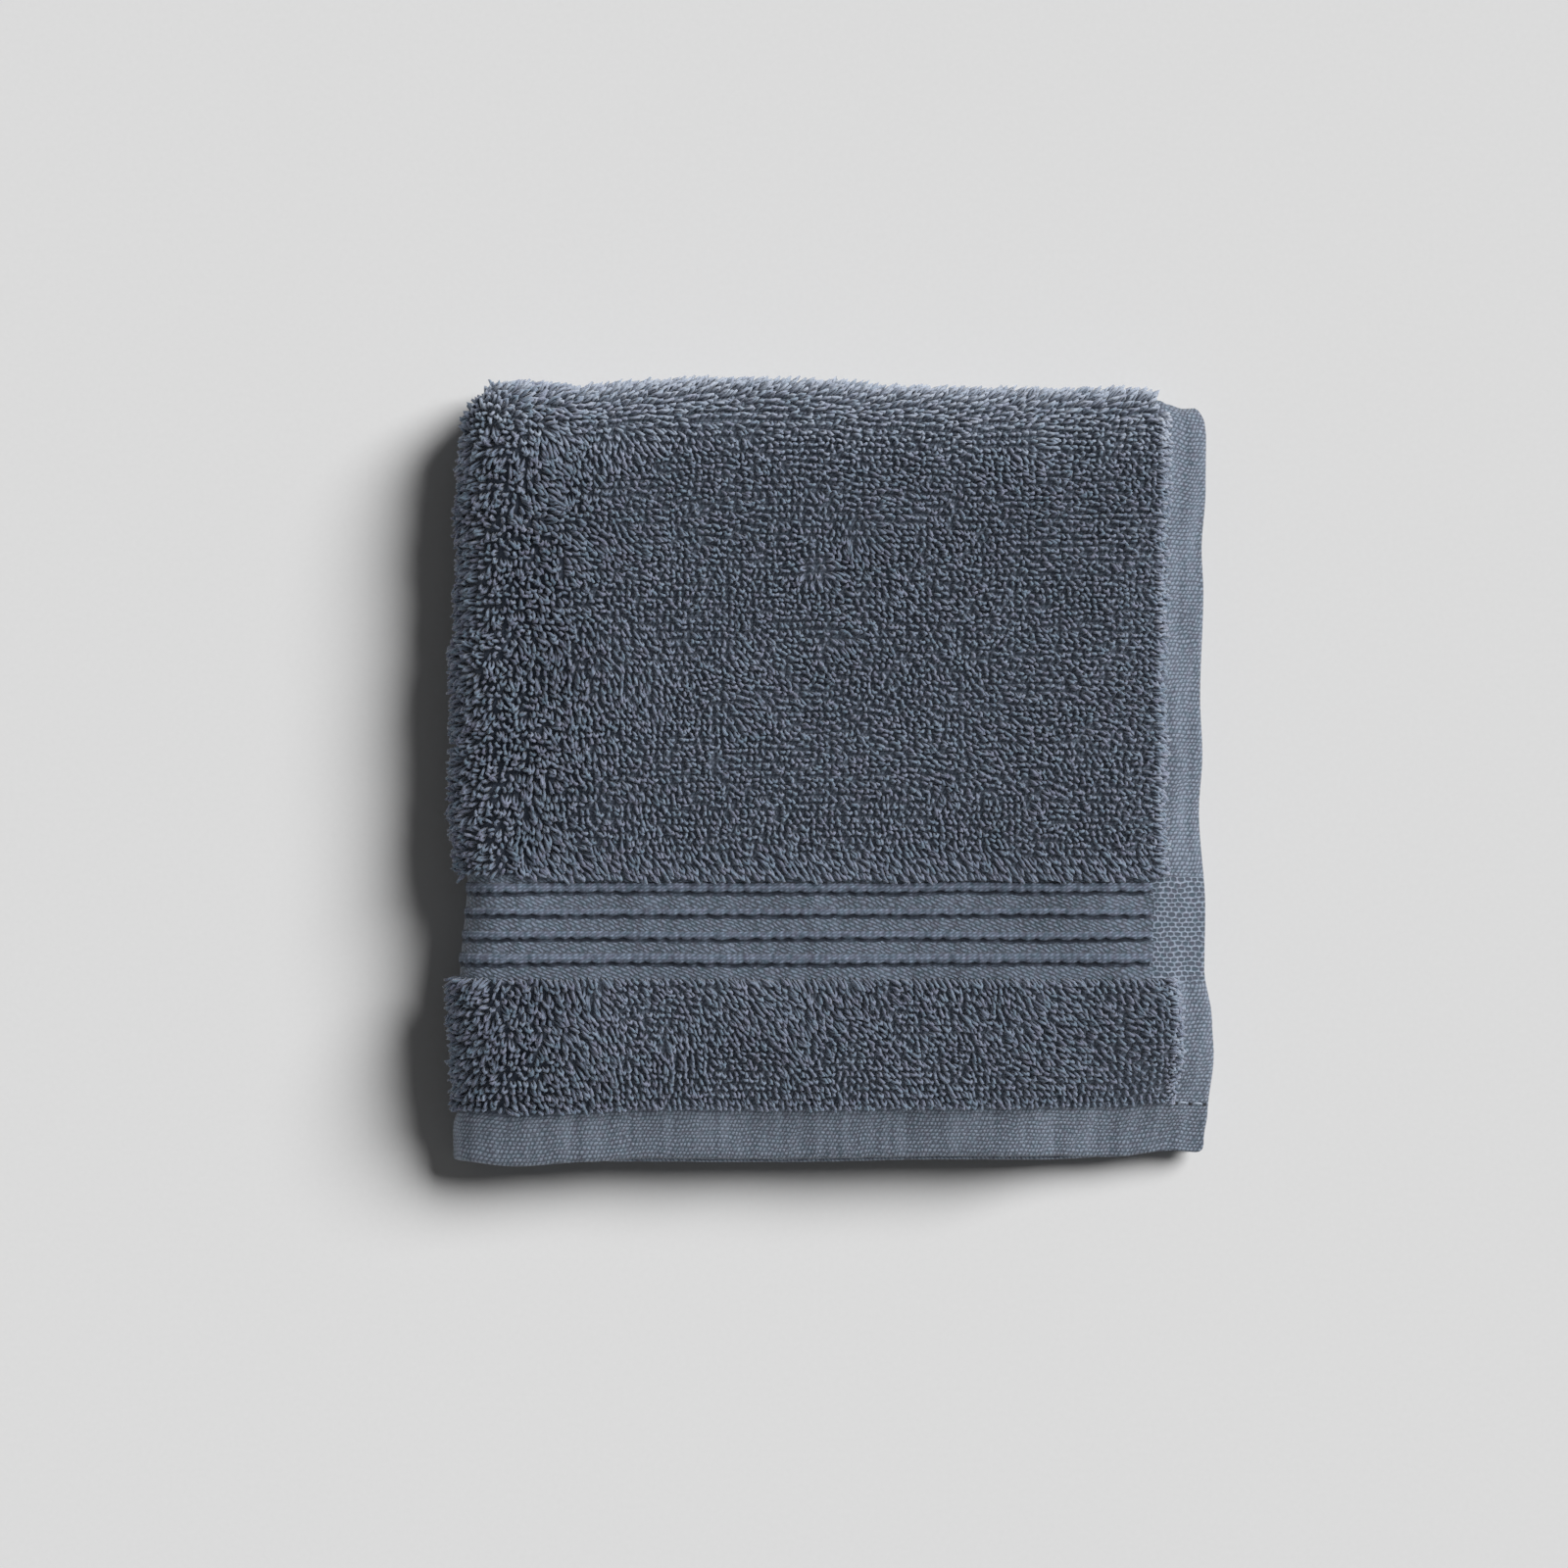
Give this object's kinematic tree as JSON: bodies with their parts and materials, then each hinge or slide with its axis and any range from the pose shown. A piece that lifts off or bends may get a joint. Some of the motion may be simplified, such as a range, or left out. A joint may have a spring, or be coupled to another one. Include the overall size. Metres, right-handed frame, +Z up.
{
  "type": "folded washcloth",
  "caption": "Small square terry cloth folded in quarters and laid flat, with a woven ribbed band and flat hems, for washing or drying.",
  "frame": {"origin": "centre of the folded cloth's outline, on the surface it lies on", "axes": "+X from the round side fold to the side hems, +Y from the end hems to the top fold, +Z up through the layers"},
  "size_m": [0.1654, 0.1696, 0.0242],
  "materials": {
    "terry_cotton": "matt looped terry with flat woven hems and band"
  },
  "bodies": {
    "root": {"washcloth": "terry_cotton"}
  },
  "joints": []
}
